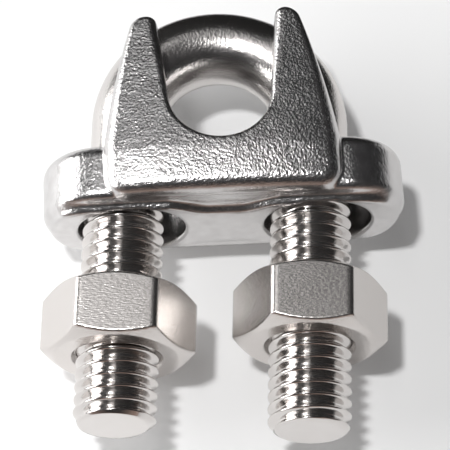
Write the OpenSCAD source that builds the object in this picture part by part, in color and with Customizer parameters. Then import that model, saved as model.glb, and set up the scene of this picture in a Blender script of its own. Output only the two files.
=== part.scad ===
// Wire rope clip for 8 mm rope: a U-bolt, a cast saddle and two hex nuts.
// Units are millimetres. The clip lies on its back, as on a bench.
// +Z runs along the rope seat, +Y points to the bow, +X is to the right.
// The origin is the centre of the rope seat, half way through the saddle.
// The nuts are run down loose, so the U-bolt leans a little in the oval holes
// of the saddle. U-bolt and nuts are drawn upright, then turned by the lean.

/* [U-bolt] */
// Crest diameter of the M8 thread on the legs
thread_d = 7.95; // [7.7:0.05:8.1]
// Pitch of the thread
pitch = 1.25; // [1:0.05:1.5]
// Diameter of the plain stock, about the pitch diameter of a rolled thread
stock_d = 7.25; // [6.9:0.05:7.5]
// Distance between the axes of the two legs
leg_span = 18.3; // [18:0.1:19]
// Level of the centre of the bend
bow_y = -0.45; // [-0.5:0.05:1]
// Level of the leg ends
leg_end_y = -32.4; // [-34:0.1:-32]
// Length of thread on each leg
thread_len = 27; // [20:0.5:27]
// Chamfer at the end of each leg
end_chamfer = 0.7; // [0.4:0.05:1.2]
// Lean of the loose U-bolt and its nuts in the saddle, in degrees
lean = 4; // [0:0.5:4]

/* [Saddle] */
// Radius of the rope seat
seat_r = 5; // [4.5:0.1:5]
// Relief of the seat between the two plates, where the bow passes
seat_relief = 0.2; // [0.1:0.05:0.3]
// Depth of the saddle along the rope
saddle_depth = 15.2; // [14.4:0.2:17]
// Thickness of the front and of the back plate
plate_t = 3.2; // [2.6:0.1:3.2]
// Width of a plate at its foot
plate_foot_w = 23; // [21:0.2:23.4]
// Width over the two horns, near their tips
horn_w = 17; // [16.4:0.2:18]
// Height of the horn tips
horn_top_y = 9.6; // [8:0.1:10]
// Level of the foot of the plates
foot_y = -10.5; // [-12:0.1:-10]
// Overall length of the saddle over both ears
saddle_len = 35.4; // [34.8:0.2:37]
// Height of the ears
ear_h = 6.2; // [5:0.1:6.4]
// Depth of the ears along the rope
ear_depth = 11.6; // [11.2:0.1:12.4]
// Distance between the centres of the two leg holes
hole_span = 18.2; // [18:0.1:19]
// Long width of a leg hole, along the saddle
hole_w = 10.4; // [9.8:0.1:10.6]
// Short width of a leg hole, along the rope
hole_d = 8.7; // [8.6:0.05:9]
// How far the nut seats stand proud of the foot
pad_h = 0.8; // [0.4:0.1:1.2]

/* [Nuts] */
// Width across the flats of a nut
nut_af = 13; // [12.7:0.1:13.5]
// Height of a nut
nut_h = 6.5; // [6:0.1:6.8]
// Level of the lower face of the left nut
nut_left_y = -25.4; // [-27:0.05:-23]
// Level of the lower face of the right nut
nut_right_y = -23.8; // [-27:0.05:-23]
// Clearance round the thread crests in a nut
nut_clear = 0.05; // [0.03:0.01:0.08]

/* [Hidden] */
$fn = 96;
leg_x = leg_span / 2;
hole_x = hole_span / 2;
thread_r = thread_d / 2;
stock_r = stock_d / 2;
thread_depth = 0.613 * pitch;
root_r = thread_r - thread_depth;
groove_count = floor((thread_len - end_chamfer - 0.5) / pitch);
plate_z = saddle_depth / 2 - plate_t;
foot_x = plate_foot_w / 2;
shoulder_y = -5;
horn_x = horn_w / 2;
horn_in_x = seat_r + 0.7;
horn_r = (horn_x - horn_in_x) / 2;
horn_y = horn_top_y - horn_r;
corner_r = 0.9;
ear_r = ear_depth / 2;
ear_x = saddle_len / 2 - ear_r;
pad_y = foot_y - pad_h;
pad_r = 6.4;
pad_half_depth = 4.9;
waist_half_depth = 3.2;
nut_corner_r = nut_af / sqrt(3);
nut_face_r = 0.465 * nut_af;
nut_bore_r = thread_r + nut_clear;
sink = 0.45;
cut = 0.5;

// Turns a solid of revolution about Z so that it stands along +Y.
module along_y() {
    rotate([-90, 0, 0]) children();
}

// Leans the U-bolt and its nuts about the seat centre, bow to the right.
module leaning() {
    rotate([0, 0, -lean]) children();
}

// Half profile of a threaded leg: chamfered end, then V grooves at the pitch.
// The grooves are rings, not a helix, with the crest, root and pitch of M8.
module leg_profile() {
    first = end_chamfer + 0.35;
    flank = 7 / 16 * pitch;
    root_half = pitch / 8;
    polygon(concat(
        [[0, 0], [thread_r - end_chamfer, 0], [thread_r, end_chamfer]],
        [for (i = [0 : groove_count - 1], k = [0 : 3])
            let (y = first + flank + i * pitch)
            [k == 0 || k == 3 ? thread_r : root_r,
             y + (k == 0 ? -flank : k == 1 ? -root_half : k == 2 ? root_half : flank)]],
        [[thread_r, thread_len - 0.35], [stock_r, thread_len],
         [stock_r, bow_y - leg_end_y], [0, bow_y - leg_end_y]]));
}

// One threaded leg, from its chamfered end up to the bend.
module leg(side) {
    translate([side * leg_x, leg_end_y, 0])
        along_y() rotate_extrude() leg_profile();
}

// The U-bolt: two threaded legs and a half-round bow of plain stock.
module u_bolt() {
    color([0.74, 0.74, 0.75]) leaning() union() {
        leg(-1);
        leg(1);
        translate([0, bow_y, 0])
            rotate_extrude(angle = 180) translate([leg_x, 0]) circle(r = stock_r);
    }
}

// Outline of a horned plate: upright at the foot, drawn in above the shoulders,
// with a U-shaped notch for the rope that leaves a rounded horn on each side.
module plate_outline() {
    difference() {
        union() {
            polygon([[-foot_x + corner_r, foot_y], [foot_x - corner_r, foot_y],
                     [foot_x, foot_y + corner_r], [foot_x, shoulder_y],
                     [horn_x, horn_y], [-horn_x, horn_y],
                     [-foot_x, shoulder_y], [-foot_x, foot_y + corner_r]]);
            for (s = [-1, 1]) {
                translate([s * (foot_x - corner_r), foot_y + corner_r]) circle(r = corner_r);
                translate([s * (horn_in_x + horn_r), horn_y]) circle(r = horn_r);
            }
        }
        circle(r = seat_r);
        polygon([[-seat_r, 0], [seat_r, 0], [horn_in_x, horn_y], [-horn_in_x, horn_y]]);
    }
}

// A horned plate, in front of the bow (side = 1) or behind it (side = -1).
module plate(side) {
    translate([0, 0, side > 0 ? plate_z : -plate_z - plate_t])
        linear_extrude(height = plate_t) plate_outline();
}

// The bar that carries the two ears, rounded round the leg holes.
module ear_bar() {
    translate([0, foot_y, 0]) along_y() linear_extrude(height = ear_h) union() {
        square([2 * ear_x, ear_depth], center = true);
        for (s = [-1, 1]) translate([s * ear_x, 0]) circle(r = ear_r);
    }
}

// Raised seats for the nuts under the ears, joined by a narrow waist.
module nut_pads() {
    translate([0, pad_y, 0]) along_y() linear_extrude(height = pad_h + cut) union() {
        intersection() {
            union() for (s = [-1, 1]) {
                translate([s * hole_x, 0]) circle(r = pad_r);
                translate([s * ear_x, 0]) circle(r = ear_r);
            }
            square([saddle_len, 2 * pad_half_depth], center = true);
        }
        square([hole_span, 2 * waist_half_depth], center = true);
    }
}

// An oval hole for a leg, through the ear.
module leg_hole(side) {
    slot = (hole_w - hole_d) / 2;
    translate([side * hole_x, pad_y - cut, 0]) along_y()
        linear_extrude(height = ear_h + pad_h + 2 * cut) union() {
            for (s = [-1, 1]) translate([s * slot, 0]) circle(d = hole_d);
            square([2 * slot, hole_d], center = true);
        }
}

// The cast saddle: two horned plates, the ear bar between them, the nut pads.
module saddle() {
    color([0.66, 0.66, 0.67]) difference() {
        union() {
            plate(1);
            plate(-1);
            ear_bar();
            nut_pads();
        }
        leg_hole(-1);
        leg_hole(1);
        cylinder(r = seat_r, h = 2 * saddle_depth, center = true);
        cylinder(r = seat_r + seat_relief, h = 2 * plate_z, center = true);
    }
}

// A hex nut, chamfered at both faces and countersunk at both ends of its bore.
// The bore is plain, at the crest radius of the thread plus a clearance.
module nut() {
    rise = (nut_corner_r - nut_face_r) * tan(30);
    difference() {
        intersection() {
            cylinder(r = nut_corner_r, h = nut_h, $fn = 6);
            rotate_extrude() polygon([
                [0, 0], [nut_face_r, 0], [nut_corner_r + 0.01, rise],
                [nut_corner_r + 0.01, nut_h - rise], [nut_face_r, nut_h], [0, nut_h]]);
        }
        translate([0, 0, -cut]) cylinder(r = nut_bore_r, h = nut_h + 2 * cut);
        translate([0, 0, -cut])
            cylinder(r1 = nut_bore_r + sink + cut, r2 = nut_bore_r, h = sink + cut);
        translate([0, 0, nut_h - sink])
            cylinder(r1 = nut_bore_r, r2 = nut_bore_r + sink + cut, h = sink + cut);
    }
}

// The nut on the left leg, run down a little further than the other.
module nut_left() {
    color([0.62, 0.62, 0.63]) leaning() translate([-leg_x, nut_left_y, 0]) along_y() nut();
}

// The nut on the right leg.
module nut_right() {
    color([0.62, 0.62, 0.63]) leaning() translate([leg_x, nut_right_y, 0]) along_y() nut();
}

saddle();
u_bolt();
nut_left();
nut_right();
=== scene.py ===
import math

import bpy
import numpy as np
from mathutils import Matrix, Vector


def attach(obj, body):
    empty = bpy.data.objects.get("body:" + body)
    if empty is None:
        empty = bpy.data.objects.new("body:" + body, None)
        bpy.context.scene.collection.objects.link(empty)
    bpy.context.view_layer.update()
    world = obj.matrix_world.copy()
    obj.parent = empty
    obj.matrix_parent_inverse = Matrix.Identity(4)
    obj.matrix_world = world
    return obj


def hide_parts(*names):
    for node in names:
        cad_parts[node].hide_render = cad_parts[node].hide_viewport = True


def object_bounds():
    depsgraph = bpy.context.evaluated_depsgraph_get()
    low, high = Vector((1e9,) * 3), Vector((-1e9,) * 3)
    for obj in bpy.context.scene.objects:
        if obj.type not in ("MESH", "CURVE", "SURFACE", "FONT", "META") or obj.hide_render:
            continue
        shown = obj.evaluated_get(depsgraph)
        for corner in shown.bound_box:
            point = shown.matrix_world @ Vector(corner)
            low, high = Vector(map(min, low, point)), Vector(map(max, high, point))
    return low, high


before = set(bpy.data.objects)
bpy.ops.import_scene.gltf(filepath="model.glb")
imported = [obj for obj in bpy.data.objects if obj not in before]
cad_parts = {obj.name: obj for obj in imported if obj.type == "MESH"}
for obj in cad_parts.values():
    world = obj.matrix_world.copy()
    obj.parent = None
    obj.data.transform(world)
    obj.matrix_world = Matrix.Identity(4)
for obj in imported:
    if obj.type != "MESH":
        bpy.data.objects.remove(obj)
cad_low, cad_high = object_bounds()


# ------------------------------------------------------------------ camera
# A long lens on the nut side of the clip, held high over it, so that the
# saddle's front plate, the undersides and the leg ends all show.
MM = 0.001
camera_azimuth = math.radians(-2.95)
camera_elevation = math.radians(64.6)
camera_roll = math.radians(-0.2)
camera_distance = 210 * MM
camera_aim = Vector((0, -11.1, 0)) * MM

camera_data = bpy.data.cameras.new("camera")
camera_data.sensor_width = 36
camera_data.lens = 171.6
camera_data.clip_start = 0.01
camera_data.clip_end = 10
camera = bpy.data.objects.new("camera", camera_data)
camera_back = Vector((math.sin(camera_azimuth) * math.cos(camera_elevation),
                      -math.cos(camera_azimuth) * math.cos(camera_elevation),
                      math.sin(camera_elevation)))
camera.location = camera_aim + camera_back * camera_distance
camera.rotation_mode = "QUATERNION"
camera.rotation_quaternion = ((-camera_back).to_track_quat("-Z", "Y")
                              @ Matrix.Rotation(-camera_roll, 3, "Z").to_quaternion())
bpy.context.scene.collection.objects.link(camera)
bpy.context.scene.camera = camera


# ------------------------------------------------------------------ saddle
# One investment casting in stainless steel, tumbled bright: two horned
# plates that hold the rope between them and the bow, an ear with an oval
# hole for each leg, and flat seats for the nuts underneath. It is built as
# one field of distances, in millimetres, so that every edge and inside
# corner has its radius.
SEAT_R, SEAT_FLARE = 5.0, 0.098
PLATE_IN, PLATE_OUT = 4.4, 7.6
FOOT, SHOULDER, LEFT_HORN_TOP, RIGHT_HORN_TOP = -10.5, -5, 9.1, 9.6
SHOULDER_HALF, TAPER, TAPER_GROWTH, SIDE_COSINE = 11.5, 0.15, 0.006, 0.98
HORN_TIP_R, FOOT_CORNER_R = 1.1, 2.2
CROWN_HALF, SIDE_FALL, EDGE_FALL = 9, 0.25, 0.12
TIP_FALL, TIP_FALL_FROM, FOOT_FALL, FOOT_FALL_FROM, FOOT_FALL_SPAN = 0.04, -6, 0.35, -4, 6
EDGE_FROM, PLATE_EDGE_THINNING, PLATE_EDGE_MIN, PLATE_EDGE_MAX = -4, 0.07, 0.6, 1.4
NOTCH_EDGE_GROWTH, NOTCH_EDGE_MIN, NOTCH_EDGE_MAX = 0.05, 0.45, 1.0
EAR_TOP, EAR_END, EAR_R = -4.3, 17.7, 5.8
EAR_TOP_EDGE, EAR_FOOT_EDGE = 1.6, 1.0
HOLE_X, HOLE_R, HOLE_SLOT, HOLE_EDGE = 9.1, 4.35, 0.85, 0.35
PAD_FOOT, PAD_R, PAD_DEPTH, WAIST_DEPTH = -11.3, 6.4, 4.9, 3.2
PAD_INSET, PAD_CORNER, WAIST_FILLET, PAD_EDGE, PAD_SUNK = 0.7, 1.6, 2.0, 0.5, 2
PAD_FILLET, PLATE_FILLET = 0.8, 0.2


def round_meet(a, b, r):
    """The part inside both fields, with its outer edge rounded to r."""
    over = np.hypot(np.maximum(a + r, 0), np.maximum(b + r, 0))
    return np.minimum(np.maximum(a, b), -r) + over


def round_join(a, b, r):
    """The part inside either field, with a fillet of r between them."""
    under = np.hypot(np.maximum(r - a, 0), np.maximum(r - b, 0))
    return np.maximum(np.minimum(a, b), r) - under


def rope_notch(x, y):
    """The U-shaped rope seat: a half circle with walls that open upward."""
    wall = (np.abs(x) - SEAT_R - SEAT_FLARE * y) / math.hypot(1, SEAT_FLARE)
    return np.where(y < 0, np.hypot(x, y) - SEAT_R, wall)


def horned_outline(x, y):
    """Outline of a plate, before the rope notch is taken out: upright at the
    foot, then drawn in more and more towards the horn tips."""
    rise = np.maximum(y - SHOULDER, 0)
    half_width = SHOULDER_HALF - TAPER * rise - TAPER_GROWTH * rise ** 2
    top = np.where(x < 0, LEFT_HORN_TOP, RIGHT_HORN_TOP)
    outline = round_meet((np.abs(x) - half_width) * SIDE_COSINE, y - top, HORN_TIP_R)
    return round_meet(outline, FOOT - y, FOOT_CORNER_R)


def saddle_field(x, y, z):
    """Distance to the saddle's skin in millimetres, negative in the metal."""
    depth = np.abs(z)

    # A plate's outer face falls away to its sides, its tips and its foot.
    across = x / CROWN_HALF
    tip_fall = TIP_FALL * np.maximum(y - TIP_FALL_FROM, 0)
    crown = SIDE_FALL * across ** 2 + EDGE_FALL * across ** 4 + tip_fall
    crown = crown + FOOT_FALL * (np.minimum(y - FOOT_FALL_FROM, 0) / FOOT_FALL_SPAN) ** 2
    slab = np.maximum(depth - PLATE_OUT + crown, PLATE_IN - depth)
    plate_edge = PLATE_EDGE_MAX - PLATE_EDGE_THINNING * (y - EDGE_FROM)
    plate_edge = np.clip(plate_edge, PLATE_EDGE_MIN, PLATE_EDGE_MAX)
    plate = round_meet(horned_outline(x, y), slab, plate_edge)

    # The ears are one bar with round ends, under and between the plates.
    plan = np.hypot(np.maximum(np.abs(x) - (EAR_END - EAR_R), 0), z) - EAR_R
    ears = round_meet(plan, y - EAR_TOP, EAR_TOP_EDGE)
    ears = round_meet(ears, FOOT - y, EAR_FOOT_EDGE)

    # The nut seats stand proud of the bar's underside, joined by a waist.
    pads = np.hypot(np.minimum(np.abs(x) - HOLE_X, 0), z) - PAD_R
    pads = round_meet(np.maximum(pads, plan + PAD_INSET), depth - PAD_DEPTH, PAD_CORNER)
    waist = np.maximum(depth - WAIST_DEPTH, np.abs(x) - HOLE_X)
    pads = round_join(pads, waist, WAIST_FILLET)
    pads = round_meet(pads, np.maximum(PAD_FOOT - y, y - FOOT - PAD_SUNK), PAD_EDGE)

    # The rope notch and the oval leg holes are taken out of the whole casting.
    notch_edge = NOTCH_EDGE_MIN + NOTCH_EDGE_GROWTH * (y - EDGE_FROM)
    notch_edge = np.clip(notch_edge, NOTCH_EDGE_MIN, NOTCH_EDGE_MAX)
    body = round_join(plate, round_join(ears, pads, PAD_FILLET), PLATE_FILLET)
    body = round_meet(body, -rope_notch(x, y), notch_edge)
    hole = np.hypot(np.maximum(np.abs(np.abs(x) - HOLE_X) - HOLE_SLOT, 0), z) - HOLE_R
    return round_meet(body, -hole, HOLE_EDGE)


def skin_of_field(field, low, high, step):
    """Points and four-sided faces of a field's zero level.

    Each grid cell that the skin crosses gets one point, then each point
    slides along the slope of the field onto the skin itself."""
    axes = [np.arange(low[k], high[k] + step, step) for k in range(3)]
    value = field(axes[0][:, None, None], axes[1][None, :, None], axes[2][None, None, :])
    inside = value < 0
    count = np.zeros(tuple(n - 1 for n in value.shape), dtype=np.int8)
    for corner in range(8):
        i, j, k = corner & 1, corner >> 1 & 1, corner >> 2 & 1
        count += inside[i:i + count.shape[0], j:j + count.shape[1], k:k + count.shape[2]]
    cells = np.argwhere((count > 0) & (count < 8))
    number = np.full(count.shape, -1, dtype=np.int32)
    number[tuple(cells.T)] = np.arange(len(cells))
    total, crossings = np.zeros((len(cells), 3)), np.zeros(len(cells))
    for axis in range(3):
        for side in range(4):
            start = np.zeros(3, dtype=int)
            start[(axis + 1) % 3], start[(axis + 2) % 3] = side & 1, side >> 1
            along = np.eye(3, dtype=int)[axis]
            v0 = value[tuple((cells + start).T)]
            v1 = value[tuple((cells + start + along).T)]
            cross = (v0 < 0) != (v1 < 0)
            share = np.where(cross, v0 / np.where(cross, v0 - v1, 1), 0)
            total += (cells + start + along * share[:, None]) * cross[:, None]
            crossings += cross
    points = np.array(low) + step * total / crossings[:, None]
    faces = []
    for axis in range(3):
        b, c = (axis + 1) % 3, (axis + 2) % 3
        near = np.moveaxis(inside, (axis, b, c), (0, 1, 2))
        ids = np.moveaxis(number, (axis, b, c), (0, 1, 2))
        cross = near[:-1, 1:-1, 1:-1] != near[1:, 1:-1, 1:-1]
        s, u, v = np.nonzero(cross)
        ring = np.stack([ids[s, u, v], ids[s, u + 1, v], ids[s, u + 1, v + 1], ids[s, u, v + 1]], 1)
        outward = near[s, u + 1, v + 1]
        ring[~outward] = ring[~outward][:, ::-1]
        faces.append(ring)
    reach, furthest, least_steep, settling_rounds = 0.25 * step, 0.5 * step, 0.25, 3
    for _ in range(settling_rounds):
        x, y, z = points.T
        here = field(x, y, z)
        slope = np.stack([field(x + reach, y, z) - field(x - reach, y, z),
                          field(x, y + reach, z) - field(x, y - reach, z),
                          field(x, y, z + reach) - field(x, y, z - reach)], 1) / (2 * reach)
        steep = np.maximum((slope ** 2).sum(1), least_steep)
        move = -slope * (here / steep)[:, None]
        points = points + np.clip(move, -furthest, furthest)
    return points, np.concatenate(faces)


def mesh_of(name, points, faces):
    """A smooth-shaded object from points in millimetres and index lists."""
    mesh = bpy.data.meshes.new(name)
    mesh.from_pydata((np.asarray(points) * MM).tolist(), [], faces)
    mesh.update()
    mesh.shade_smooth()
    obj = bpy.data.objects.new(name, mesh)
    bpy.context.scene.collection.objects.link(obj)
    return obj


skin_step = 0.17
skin_low, skin_high = (-18.3, -11.9, -8.1), (18.3, 10.1, 8.1)
saddle_points, saddle_faces = skin_of_field(saddle_field, skin_low, skin_high, skin_step)
saddle = mesh_of("cast_saddle", saddle_points, saddle_faces.tolist())


def cast_steel(name, tint, rough_low, rough_high, grain):
    """Bright cast stainless steel: a fine peened grain over slow waves. The
    grain is full on the plates' faces, less on the ears and weak on edges."""
    material = bpy.data.materials.new(name)
    material.use_nodes = True
    nodes, links = material.node_tree.nodes, material.node_tree.links
    nodes.clear()

    output = nodes.new("ShaderNodeOutputMaterial")
    output.label = "cast steel surface"
    steel = nodes.new("ShaderNodeBsdfPrincipled")
    steel.label = "stainless steel"
    place = nodes.new("ShaderNodeTexCoord")
    place.label = "place and direction on the casting"

    face_frame = nodes.new("NodeFrame")
    face_frame.label = "where the peening reached"
    facing = nodes.new("ShaderNodeSeparateXYZ")
    facing.label = "direction of the skin"
    facing_size = nodes.new("ShaderNodeMath")
    facing_size.label = "front or back alike"
    facing_range = nodes.new("ShaderNodeMapRange")
    facing_range.label = "full on faces, little on edges"
    standing = nodes.new("ShaderNodeSeparateXYZ")
    standing.label = "place in the casting"
    standing_size = nodes.new("ShaderNodeMath")
    standing_size.label = "distance from mid depth"
    standing_range = nodes.new("ShaderNodeMapRange")
    standing_range.label = "full on the plates, less on the ears"
    peening = nodes.new("ShaderNodeMath")
    peening.label = "strength of the peening"
    for node in (facing, facing_size, facing_range,
                 standing, standing_size, standing_range, peening):
        node.parent = face_frame

    grain_frame = nodes.new("NodeFrame")
    grain_frame.label = "peened grain of the tumbled casting"
    grain_cells = nodes.new("ShaderNodeTexVoronoi")
    grain_cells.label = "peening dents"
    grain_noise = nodes.new("ShaderNodeTexNoise")
    grain_noise.label = "grain between the dents"
    grain_mix = nodes.new("ShaderNodeMath")
    grain_mix.label = "dents and grain together"
    grain_bump = nodes.new("ShaderNodeBump")
    grain_bump.label = "grain height"
    for node in (grain_cells, grain_noise, grain_mix, grain_bump):
        node.parent = grain_frame

    wave_frame = nodes.new("NodeFrame")
    wave_frame.label = "slow waves left by the wax pattern"
    wave_noise = nodes.new("ShaderNodeTexNoise")
    wave_noise.label = "waves"
    wave_bump = nodes.new("ShaderNodeBump")
    wave_bump.label = "wave height"
    for node in (wave_noise, wave_bump):
        node.parent = wave_frame

    shine_frame = nodes.new("NodeFrame")
    shine_frame.label = "uneven polish"
    shine_noise = nodes.new("ShaderNodeTexNoise")
    shine_noise.label = "polished and dull patches"
    shine_range = nodes.new("ShaderNodeMapRange")
    shine_range.label = "roughness of the patches"
    tint_ramp = nodes.new("ShaderNodeValToRGB")
    tint_ramp.label = "steel tint from dent to crest"
    for node in (shine_noise, shine_range, tint_ramp):
        node.parent = shine_frame

    steel.inputs["Metallic"].default_value = 1
    facing_size.operation = "ABSOLUTE"
    facing_range.inputs["From Min"].default_value = 0.55
    facing_range.inputs["From Max"].default_value = 0.95
    facing_range.inputs["To Min"].default_value = 0.12
    standing_size.operation = "ABSOLUTE"
    standing_range.inputs["From Min"].default_value = 5.9 * MM
    standing_range.inputs["From Max"].default_value = 6.5 * MM
    standing_range.inputs["To Min"].default_value = 0.75
    peening.operation = "MULTIPLY"
    grain_cells.inputs["Scale"].default_value = 1 / (0.32 * MM)
    grain_cells.inputs["Randomness"].default_value = 1
    grain_noise.inputs["Scale"].default_value = 1 / (0.24 * MM)
    grain_noise.inputs["Detail"].default_value = 3
    grain_mix.operation = "MULTIPLY_ADD"
    grain_mix.inputs[1].default_value = 0.3
    grain_bump.inputs["Distance"].default_value = grain
    wave_noise.inputs["Scale"].default_value = 1 / (2.6 * MM)
    wave_noise.inputs["Detail"].default_value = 2
    wave_bump.inputs["Distance"].default_value = 0.06 * MM
    wave_bump.inputs["Strength"].default_value = 1
    shine_noise.inputs["Scale"].default_value = 1 / (1.1 * MM)
    shine_noise.inputs["Detail"].default_value = 5
    shine_range.inputs["To Min"].default_value = rough_low
    shine_range.inputs["To Max"].default_value = rough_high
    tint_ramp.color_ramp.elements[0].position = 0.25
    tint_ramp.color_ramp.elements[0].color = (tint[0] * 0.85, tint[1] * 0.84, tint[2] * 0.84, 1)
    tint_ramp.color_ramp.elements[1].position = 0.75
    tint_ramp.color_ramp.elements[1].color = (*tint, 1)

    links.new(place.outputs["Normal"], facing.inputs["Vector"])
    links.new(facing.outputs["Z"], facing_size.inputs[0])
    links.new(facing_size.outputs[0], facing_range.inputs["Value"])
    links.new(place.outputs["Object"], standing.inputs["Vector"])
    links.new(standing.outputs["Z"], standing_size.inputs[0])
    links.new(standing_size.outputs[0], standing_range.inputs["Value"])
    links.new(facing_range.outputs["Result"], peening.inputs[0])
    links.new(standing_range.outputs["Result"], peening.inputs[1])
    links.new(peening.outputs[0], grain_bump.inputs["Strength"])
    links.new(place.outputs["Object"], grain_cells.inputs["Vector"])
    links.new(place.outputs["Object"], grain_noise.inputs["Vector"])
    links.new(place.outputs["Object"], wave_noise.inputs["Vector"])
    links.new(place.outputs["Object"], shine_noise.inputs["Vector"])
    links.new(grain_cells.outputs["Distance"], grain_mix.inputs[0])
    links.new(grain_noise.outputs["Fac"], grain_mix.inputs[2])
    links.new(wave_noise.outputs["Fac"], wave_bump.inputs["Height"])
    links.new(grain_mix.outputs[0], grain_bump.inputs["Height"])
    links.new(wave_bump.outputs["Normal"], grain_bump.inputs["Normal"])
    links.new(shine_noise.outputs["Fac"], shine_range.inputs["Value"])
    links.new(shine_noise.outputs["Fac"], tint_ramp.inputs["Fac"])
    links.new(shine_range.outputs["Result"], steel.inputs["Roughness"])
    links.new(tint_ramp.outputs["Color"], steel.inputs["Base Color"])
    links.new(grain_bump.outputs["Normal"], steel.inputs["Normal"])
    links.new(steel.outputs["BSDF"], output.inputs["Surface"])
    columns = ((place,), (facing, standing, wave_noise, grain_cells, grain_noise, shine_noise),
               (facing_size, standing_size, wave_bump, grain_mix, shine_range, tint_ramp),
               (facing_range, standing_range, peening), (grain_bump,), (steel,), (output,))
    for column, stack in enumerate(columns):
        for row, node in enumerate(stack):
            node.location = (column * 260 - 900, 700 - row * 280)
    return material


saddle_finish = cast_steel("saddle_cast_steel", (0.7, 0.69, 0.685), 0.21, 0.29, 0.07 * MM)
saddle.data.materials.append(saddle_finish)
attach(saddle, "saddle_body")
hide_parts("saddle")


# ------------------------------------------------------------------ U-bolt
# One bar of stainless steel, bent to a half-round bow. The threads are
# rolled on before bending: M8, right-handed, with rounded crests and roots.
# The left leg end is cut flat and chamfered, the right one is rounded over.
LEG_X, BOW_Y = 9.15, -0.45
LEG_END = {-1: -32.2, 1: -32.4}
THREAD_TOP = -5.0
CREST_R, STOCK_R, PITCH = 3.975, 3.625, 1.25
THREAD_DEPTH = 0.613 * PITCH
LEAN = math.radians(-4)
CREST_LEVEL = {-1: -25.4, 1: -23.33}

profile_steps = 512
profile_place = np.arange(profile_steps) / profile_steps
crest_half, flank_run, blur_width = 1 / 16, 0.354, 0.035
from_crest = np.minimum(profile_place, 1 - profile_place)
sharp_profile = np.clip((from_crest - crest_half) / flank_run, 0, 1)
blur = np.exp(-0.5 * (from_crest / blur_width) ** 2)
round_profile = np.real(np.fft.ifft(np.fft.fft(sharp_profile) * np.fft.fft(blur / blur.sum())))
round_profile = round_profile - round_profile.min()
round_profile = round_profile / round_profile.max()


def thread_drop(level, turn, side):
    """How far the thread's surface lies below its crest, from 0 to 1, on the
    leg of that side, at a level along the leg and an angle round it."""
    phase = ((level - CREST_LEVEL[side]) / PITCH - turn / (2 * math.pi)) % 1
    whole_turn = np.append(profile_place, 1)
    return np.interp(phase, whole_turn, np.append(round_profile, round_profile[0]))


def leg_radius(level, turn, side):
    """Radius of a leg: thread, run-out at the top, chamfer at the end."""
    from_end = level - LEG_END[side]
    threaded = CREST_R - THREAD_DEPTH * thread_drop(level, turn, side)
    run_out_from, run_out_length = THREAD_TOP - 2.2, 2.0
    run_out = np.clip((level - run_out_from) / run_out_length, 0, 1)
    run_out = run_out * run_out * (3 - 2 * run_out)
    radius = threaded * (1 - run_out) + STOCK_R * run_out
    if side < 0:
        flat_r, chamfer_slope = 3.42, 0.85
        end = flat_r + chamfer_slope * from_end
    else:
        flat_r, rounding_out, rounding_up = 3.05, 0.9, 1.0
        rounding = np.sqrt(1 - (1 - np.clip(from_end / rounding_up, 0, 1)) ** 2)
        end = flat_r + rounding_out * rounding + np.maximum(from_end - rounding_up, 0)
    return np.minimum(radius, end)


def leaned(points):
    """Turns upright points of the U-bolt or a nut to their lean in the saddle."""
    points = np.asarray(points)
    x = points[..., 0] * math.cos(LEAN) - points[..., 1] * math.sin(LEAN)
    y = points[..., 0] * math.sin(LEAN) + points[..., 1] * math.cos(LEAN)
    return np.stack([x, y, points[..., 2]], -1)


round_steps = 112
row_step = PITCH / 16
turns = np.linspace(0, 2 * math.pi, round_steps, endpoint=False)
rings = []


def leg_rings(side):
    """Rings of one threaded leg, from its end up to the plain shank."""
    made = []
    for level in np.arange(LEG_END[side], THREAD_TOP + row_step, row_step):
        radius = leg_radius(level, turns, side)
        made.append(np.stack([side * LEG_X + radius * np.cos(turns), np.full(round_steps, level),
                              -radius * np.sin(turns)], 1))
    return made


def end_rings(side):
    """Rings that close a leg's end, from the centre out to the rim."""
    made = []
    rim = leg_radius(LEG_END[side], turns, side)
    dome = 0.02 if side < 0 else 0.0
    for share in (0.02, 0.25, 0.5, 0.75, 0.93):
        level = np.full(round_steps, LEG_END[side] + dome * share ** 2)
        made.append(np.stack([side * LEG_X + rim * share * np.cos(turns), level,
                              -rim * share * np.sin(turns)], 1))
    return made


bow_steps = 96
rings += end_rings(-1) + leg_rings(-1)
for share in np.linspace(0, 1, bow_steps + 1):
    bend = math.pi * (1 - share)
    out = np.array([math.cos(bend), math.sin(bend), 0])
    across = -np.cos(turns) * STOCK_R
    ring = np.array([0, BOW_Y, 0]) + out * (LEG_X + across)[:, None]
    ring[:, 2] = -STOCK_R * np.sin(turns)
    rings.append(ring)
right_rings = end_rings(1) + leg_rings(1)
mirrored = [np.roll(ring[::-1], 1 + round_steps // 2, axis=0) for ring in right_rings[::-1]]
rings += mirrored
ring_points = leaned(np.concatenate(rings))
bolt_faces = []
for ring in range(len(rings) - 1):
    here, there = ring * round_steps, (ring + 1) * round_steps
    for step in range(round_steps):
        nxt = (step + 1) % round_steps
        bolt_faces.append((here + step, here + nxt, there + nxt, there + step))
bolt_faces.append(tuple(range(round_steps))[::-1])
bolt_faces.append(tuple(range((len(rings) - 1) * round_steps, len(rings) * round_steps)))
u_bolt = mesh_of("threaded_u_bolt", ring_points, bolt_faces)


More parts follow.
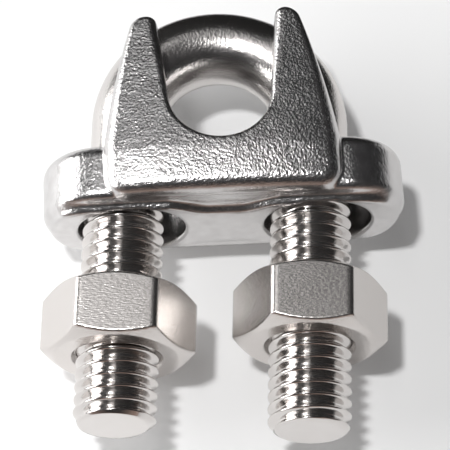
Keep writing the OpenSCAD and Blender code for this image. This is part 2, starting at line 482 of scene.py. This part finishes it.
def bar_steel(name, tint, rough_low, rough_high, streak):
    """Bright rolled bar: fine draw lines along it and a few dull patches."""
    material = bpy.data.materials.new(name)
    material.use_nodes = True
    nodes, links = material.node_tree.nodes, material.node_tree.links
    nodes.clear()

    output = nodes.new("ShaderNodeOutputMaterial")
    output.label = "rolled bar surface"
    steel = nodes.new("ShaderNodeBsdfPrincipled")
    steel.label = "stainless steel"
    place = nodes.new("ShaderNodeTexCoord")
    place.label = "place on the clip"

    line_frame = nodes.new("NodeFrame")
    line_frame.label = "fine scuffs from rolling and tumbling"
    line_stretch = nodes.new("ShaderNodeMapping")
    line_stretch.label = "scuffs run along the legs"
    line_noise = nodes.new("ShaderNodeTexNoise")
    line_noise.label = "scuffs"
    line_bump = nodes.new("ShaderNodeBump")
    line_bump.label = "scuff depth"
    for node in (line_stretch, line_noise, line_bump):
        node.parent = line_frame

    bow_frame = nodes.new("NodeFrame")
    bow_frame.label = "duller, grainy skin of the bow"
    bow_split = nodes.new("ShaderNodeSeparateXYZ")
    bow_split.label = "place along the clip"
    bow_part = nodes.new("ShaderNodeMapRange")
    bow_part.label = "from the threads to the bow"
    bow_rough = nodes.new("ShaderNodeMath")
    bow_rough.label = "added roughness"
    bow_noise = nodes.new("ShaderNodeTexNoise")
    bow_noise.label = "grain of the bow"
    bow_bump = nodes.new("ShaderNodeBump")
    bow_bump.label = "grain height"
    for node in (bow_split, bow_part, bow_rough, bow_noise, bow_bump):
        node.parent = bow_frame

    shine_frame = nodes.new("NodeFrame")
    shine_frame.label = "uneven polish"
    shine_noise = nodes.new("ShaderNodeTexNoise")
    shine_noise.label = "dull patches"
    shine_range = nodes.new("ShaderNodeMapRange")
    shine_range.label = "roughness of the patches"
    tint_ramp = nodes.new("ShaderNodeValToRGB")
    tint_ramp.label = "steel tint"
    for node in (shine_noise, shine_range, tint_ramp):
        node.parent = shine_frame

    steel.inputs["Metallic"].default_value = 1
    bow_part.inputs["From Min"].default_value = THREAD_TOP * MM
    bow_part.inputs["From Max"].default_value = BOW_Y * MM
    bow_rough.operation = "MULTIPLY_ADD"
    bow_rough.inputs[1].default_value = 0.07
    bow_noise.inputs["Scale"].default_value = 1 / (0.25 * MM)
    bow_noise.inputs["Detail"].default_value = 3
    bow_bump.inputs["Distance"].default_value = 0.03 * MM
    line_stretch.inputs["Scale"].default_value = (1, 0.25, 1)
    line_noise.inputs["Scale"].default_value = 1 / (0.25 * MM)
    line_noise.inputs["Detail"].default_value = 3
    line_bump.inputs["Distance"].default_value = streak
    line_bump.inputs["Strength"].default_value = 1
    shine_noise.inputs["Scale"].default_value = 1 / (1.5 * MM)
    shine_noise.inputs["Detail"].default_value = 6
    shine_range.inputs["To Min"].default_value = rough_low
    shine_range.inputs["To Max"].default_value = rough_high
    tint_ramp.color_ramp.elements[0].color = (tint[0] * 0.9, tint[1] * 0.89, tint[2] * 0.88, 1)
    tint_ramp.color_ramp.elements[1].color = (*tint, 1)

    links.new(place.outputs["Object"], line_stretch.inputs["Vector"])
    links.new(line_stretch.outputs["Vector"], line_noise.inputs["Vector"])
    links.new(place.outputs["Object"], shine_noise.inputs["Vector"])
    links.new(line_noise.outputs["Fac"], line_bump.inputs["Height"])
    links.new(shine_noise.outputs["Fac"], shine_range.inputs["Value"])
    links.new(shine_noise.outputs["Fac"], tint_ramp.inputs["Fac"])
    links.new(place.outputs["Object"], bow_split.inputs["Vector"])
    links.new(place.outputs["Object"], bow_noise.inputs["Vector"])
    links.new(bow_split.outputs["Y"], bow_part.inputs["Value"])
    links.new(bow_part.outputs["Result"], bow_rough.inputs[0])
    links.new(shine_range.outputs["Result"], bow_rough.inputs[2])
    links.new(bow_part.outputs["Result"], bow_bump.inputs["Strength"])
    links.new(bow_noise.outputs["Fac"], bow_bump.inputs["Height"])
    links.new(line_bump.outputs["Normal"], bow_bump.inputs["Normal"])
    links.new(bow_rough.outputs[0], steel.inputs["Roughness"])
    links.new(tint_ramp.outputs["Color"], steel.inputs["Base Color"])
    links.new(bow_bump.outputs["Normal"], steel.inputs["Normal"])
    links.new(steel.outputs["BSDF"], output.inputs["Surface"])
    columns = ((place,), (line_stretch, bow_split, bow_noise, shine_noise),
               (line_noise, bow_part, shine_range, tint_ramp),
               (line_bump, bow_rough), (bow_bump,), (steel,), (output,))
    for column, stack in enumerate(columns):
        for row, node in enumerate(stack):
            node.location = (column * 260 - 900, 400 - row * 280)
    return material


u_bolt_finish = bar_steel("u_bolt_bright_steel", (0.73, 0.705, 0.69), 0.12, 0.2, 0.006 * MM)
u_bolt.data.materials.append(u_bolt_finish)
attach(u_bolt, "u_bolt_body")
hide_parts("u_bolt")


# ------------------------------------------------------------------ nuts
# Two plain hex nuts, 13 mm across the flats, turned and tapped from hex bar:
# both faces chamfered at 30 degrees, both ends of the thread countersunk.
NUT_FLAT, NUT_HEIGHT = 6.5, 6.5
FACE_R, SINK_R, SINK_SLOPE, TAP_R, FIT = 6.045, 4.45, 0.9, 3.38, 0.05
CHAMFER_SLOPE = math.tan(math.radians(30))
NUT_LEVEL = {-1: -25.4, 1: -23.8}
edge_break = 0.07
nut_steps = 192
nut_turns = np.linspace(0, 2 * math.pi, nut_steps, endpoint=False)


def hex_radius(turn):
    """Radius of the hex bar at an angle, with its corners just broken."""
    sharpness = 70
    flats = [np.abs(np.cos(turn - math.pi / 2 - k * math.pi / 3)) ** sharpness for k in range(3)]
    return NUT_FLAT / sum(flats) ** (1 / sharpness)


def nut_rings(side):
    """Rings round a nut: up the tapped bore, out over the top face and its
    chamfer, down the flats, and back in over the lower face."""
    low = NUT_LEVEL[side]
    corner = hex_radius(nut_turns)
    fall = (corner - FACE_R) * CHAMFER_SLOPE
    made = []
    for level in np.arange(0, NUT_HEIGHT + row_step / 2, row_step):
        level = min(level, NUT_HEIGHT)
        tapped = CREST_R + FIT - THREAD_DEPTH * thread_drop(low + level, nut_turns, side)
        sunk = SINK_R - min(level, NUT_HEIGHT - level) * SINK_SLOPE
        made.append((np.maximum(np.maximum(tapped, TAP_R), sunk), np.full(nut_steps, level)))
    face = [SINK_R + 0.05, SINK_R + 0.5, (SINK_R + FACE_R) / 2, FACE_R - 0.3, FACE_R - edge_break]
    top = [(np.full(nut_steps, ring_r), np.full(nut_steps, NUT_HEIGHT)) for ring_r in face]
    for share in (0.03, 0.25, 0.5, 0.75, 0.97):
        reach = share * (corner - edge_break - FACE_R)
        top.append((FACE_R + reach, NUT_HEIGHT - reach * CHAMFER_SLOPE))
    made += top
    rise = np.concatenate([[0], np.linspace(0.02, 0.98, 9), [1]])
    for share in rise:
        span = NUT_HEIGHT - 2 * fall - 2 * edge_break
        made.append((corner, NUT_HEIGHT - fall - edge_break - share * span))
    made += [(r, NUT_HEIGHT - level) for r, level in top[::-1]]
    rings = []
    for r, level in made:
        rings.append(np.stack([side * LEG_X + r * np.cos(nut_turns), low + level,
                               -r * np.sin(nut_turns)], 1))
    return rings


def make_nut(name, side):
    """One nut as a closed ring of rings."""
    made = nut_rings(side)
    points = leaned(np.concatenate(made))
    faces = []
    for ring in range(len(made)):
        here, there = ring * nut_steps, (ring + 1) % len(made) * nut_steps
        for step in range(nut_steps):
            nxt = (step + 1) % nut_steps
            faces.append((here + step, there + step, there + nxt, here + nxt))
    return mesh_of(name, points, faces)


def turned_steel(name, tint, rough_low, rough_high, brush):
    """Machined hex bar: fine brush marks across the flats, satin shine."""
    material = bpy.data.materials.new(name)
    material.use_nodes = True
    nodes, links = material.node_tree.nodes, material.node_tree.links
    nodes.clear()

    output = nodes.new("ShaderNodeOutputMaterial")
    output.label = "machined nut surface"
    steel = nodes.new("ShaderNodeBsdfPrincipled")
    steel.label = "stainless steel"
    place = nodes.new("ShaderNodeTexCoord")
    place.label = "place on the clip"

    brush_frame = nodes.new("NodeFrame")
    brush_frame.label = "brush marks across the flats"
    brush_stretch = nodes.new("ShaderNodeMapping")
    brush_stretch.label = "marks run round the nut"
    brush_noise = nodes.new("ShaderNodeTexNoise")
    brush_noise.label = "brush marks"
    brush_bump = nodes.new("ShaderNodeBump")
    brush_bump.label = "depth of the marks"
    for node in (brush_stretch, brush_noise, brush_bump):
        node.parent = brush_frame

    shine_frame = nodes.new("NodeFrame")
    shine_frame.label = "satin and bright patches"
    shine_noise = nodes.new("ShaderNodeTexNoise")
    shine_noise.label = "patches"
    shine_range = nodes.new("ShaderNodeMapRange")
    shine_range.label = "roughness of the patches"
    tint_ramp = nodes.new("ShaderNodeValToRGB")
    tint_ramp.label = "steel tint"
    for node in (shine_noise, shine_range, tint_ramp):
        node.parent = shine_frame

    steel.inputs["Metallic"].default_value = 1
    brush_stretch.inputs["Rotation"].default_value = (0, 0, -LEAN)
    brush_stretch.inputs["Scale"].default_value = (0.3, 1, 0.3)
    brush_noise.inputs["Scale"].default_value = 1 / (0.13 * MM)
    brush_noise.inputs["Detail"].default_value = 3
    brush_bump.inputs["Distance"].default_value = brush
    brush_bump.inputs["Strength"].default_value = 1
    shine_noise.inputs["Scale"].default_value = 1 / (1.2 * MM)
    shine_noise.inputs["Detail"].default_value = 3
    shine_range.inputs["To Min"].default_value = rough_low
    shine_range.inputs["To Max"].default_value = rough_high
    tint_ramp.color_ramp.elements[0].color = (tint[0] * 0.97, tint[1] * 0.96, tint[2] * 0.95, 1)
    tint_ramp.color_ramp.elements[1].color = (*tint, 1)

    links.new(place.outputs["Object"], brush_stretch.inputs["Vector"])
    links.new(brush_stretch.outputs["Vector"], brush_noise.inputs["Vector"])
    links.new(place.outputs["Object"], shine_noise.inputs["Vector"])
    links.new(brush_noise.outputs["Fac"], brush_bump.inputs["Height"])
    links.new(shine_noise.outputs["Fac"], shine_range.inputs["Value"])
    links.new(shine_noise.outputs["Fac"], tint_ramp.inputs["Fac"])
    links.new(shine_range.outputs["Result"], steel.inputs["Roughness"])
    links.new(tint_ramp.outputs["Color"], steel.inputs["Base Color"])
    links.new(brush_bump.outputs["Normal"], steel.inputs["Normal"])
    links.new(steel.outputs["BSDF"], output.inputs["Surface"])
    columns = ((place,), (brush_stretch, shine_noise), (brush_noise, shine_range, tint_ramp),
               (brush_bump,), (steel,), (output,))
    for column, stack in enumerate(columns):
        for row, node in enumerate(stack):
            node.location = (column * 260 - 900, 400 - row * 280)
    return material


nut_finish = turned_steel("nut_satin_steel", (0.69, 0.66, 0.64), 0.25, 0.28, 0.025 * MM)
for nut_name, nut_node, nut_body, nut_side in (("hex_nut_left", "nut_left", "nut_left_body", -1),
                                               ("hex_nut_right", "nut_right", "nut_right_body", 1)):
    hex_nut = make_nut(nut_name, nut_side)
    hex_nut.data.materials.append(nut_finish)
    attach(hex_nut, nut_body)
    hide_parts(nut_node)


# ------------------------------------------------------------------ bench and light
# A white bench top under the clip, with a faint painted glow of its own
# that lifts its shadows, a large soft lamp on the left, a strip lamp overhead
# with a small key lamp beside it, and a dim room all round, because
# polished steel only shows what it reflects.
def matt_paint(name, colour, roughness, glow):
    """Plain matt paint, which may have a faint painted glow: emission that stands in for fill
    light, though it is no lamp.
    """
    material = bpy.data.materials.new(name)
    material.use_nodes = True
    nodes, links = material.node_tree.nodes, material.node_tree.links
    nodes.clear()

    output = nodes.new("ShaderNodeOutputMaterial")
    output.label = "painted surface"
    output.location = (300, 0)
    paint = nodes.new("ShaderNodeBsdfPrincipled")
    paint.label = "matt paint"
    paint.location = (0, 0)

    paint.inputs["Base Color"].default_value = colour
    paint.inputs["Roughness"].default_value = roughness
    paint.inputs["Emission Color"].default_value = (1, 1, 1, 1)
    # A glow above 0 is painted light: the surface lights itself and what stands near it.
    paint.inputs["Emission Strength"].default_value = glow

    links.new(paint.outputs["BSDF"], output.inputs["Surface"])
    return material


def plain_sheet(name, corners, paint):
    """A flat sheet of the scene, which isn't part of the clip."""
    sheet_data = bpy.data.meshes.new(name)
    sheet_data.from_pydata(corners, [], [(0, 1, 2, 3)])
    sheet_data.materials.append(paint)
    sheet = bpy.data.objects.new(name, sheet_data)
    bpy.context.scene.collection.objects.link(sheet)
    return sheet


bench_half, bench_level = 1.5, cad_low.z
# The bench's glow of 0.14 is painted fill light: it lifts the shadows on the bench and lights the
# clip's undersides.
plain_sheet("bench_top",
            [(-bench_half, -bench_half, bench_level), (bench_half, -bench_half, bench_level),
             (bench_half, bench_half, bench_level), (-bench_half, bench_half, bench_level)],
            matt_paint("bench_white", (0.82, 0.82, 0.82, 1), 0.6, 0.14))


def soft_lamp(name, place, size, power, aimed):
    """A rectangular soft lamp that faces the clip, or else straight down."""
    lamp = bpy.data.lights.new(name, "AREA")
    lamp.shape = "RECTANGLE"
    lamp.size, lamp.size_y = size
    lamp.energy = power
    holder = bpy.data.objects.new(name, lamp)
    holder.location = place
    if aimed:
        holder.rotation_mode = "QUATERNION"
        holder.rotation_quaternion = (camera_aim - Vector(place)).to_track_quat("-Z", "Y")
    bpy.context.scene.collection.objects.link(holder)


soft_lamp("lamp_left", (-0.45, 0.06, 0.2), (0.6, 0.26), 2.7, True)
soft_lamp("lamp_strip", (-0.09, 0.16, 0.6), (0.14, 0.6), 0.26, False)
soft_lamp("lamp_key", (-0.14, -0.04, 0.55), (0.05, 0.05), 1.9, True)

# A black card stands behind the bow. It is hidden from the camera and casts
# no shadow: only its reflection shows, as the dark rim of the polished bow.
card_left, card_right, card_back, card_top = -0.012, 0.04, 0.024, 0.02
card = plain_sheet("black_card",
                   [(card_left, card_back, bench_level), (card_right, card_back, bench_level),
                    (card_right, card_back, card_top), (card_left, card_back, card_top)],
                   matt_paint("card_black", (0.01, 0.01, 0.01, 1), 1, 0))
card.visible_camera = False
card.visible_diffuse = False
card.visible_shadow = False

# The room is dark but for a warm glow low down in front of the clip.
room = bpy.data.worlds.new("room")
bpy.context.scene.world = room
room.use_nodes = True
room_nodes, room_links = room.node_tree.nodes, room.node_tree.links
room_nodes.clear()
room_output = room_nodes.new("ShaderNodeOutputWorld")
room_output.label = "room"
room_light = room_nodes.new("ShaderNodeBackground")
room_light.label = "dim room"
room_place = room_nodes.new("ShaderNodeTexCoord")
room_place.label = "direction"
room_split = room_nodes.new("ShaderNodeSeparateXYZ")
room_split.label = "direction as three numbers"
room_front = room_nodes.new("ShaderNodeMapRange")
room_front.label = "warm wall in front"
room_low = room_nodes.new("ShaderNodeMapRange")
room_low.label = "only near the horizon"
room_glow = room_nodes.new("ShaderNodeMath")
room_glow.label = "glow of the wall"
room_mix = room_nodes.new("ShaderNodeMix")
room_mix.label = "wall and dark ceiling"
room_frame = room_nodes.new("NodeFrame")
room_frame.label = "warm glow low in front"
for room_node in (room_split, room_front, room_low, room_glow):
    room_node.parent = room_frame
room_front.inputs["From Min"].default_value = -0.2
room_front.inputs["From Max"].default_value = -0.9
room_low.inputs["From Min"].default_value = 0.45
room_low.inputs["From Max"].default_value = 0.0
room_glow.operation = "MULTIPLY"
room_mix.data_type = "RGBA"
room_mix.inputs["A"].default_value = (0.03, 0.03, 0.031, 1)
room_mix.inputs["B"].default_value = (0.5, 0.36, 0.3, 1)
room_light.inputs["Strength"].default_value = 1.0
room_links.new(room_place.outputs["Generated"], room_split.inputs["Vector"])
room_links.new(room_split.outputs["Y"], room_front.inputs["Value"])
room_links.new(room_split.outputs["Z"], room_low.inputs["Value"])
room_links.new(room_front.outputs["Result"], room_glow.inputs[0])
room_links.new(room_low.outputs["Result"], room_glow.inputs[1])
room_links.new(room_glow.outputs[0], room_mix.inputs["Factor"])
room_links.new(room_mix.outputs["Result"], room_light.inputs["Color"])
room_links.new(room_light.outputs["Background"], room_output.inputs["Surface"])
room_columns = ((room_place,), (room_split,), (room_front, room_low), (room_glow,),
                (room_mix,), (room_light,), (room_output,))
for column, stack in enumerate(room_columns):
    for row, room_node in enumerate(stack):
        room_node.location = (column * 220 - 900, 300 - row * 260)
bpy.context.scene.view_settings.view_transform = "Standard"
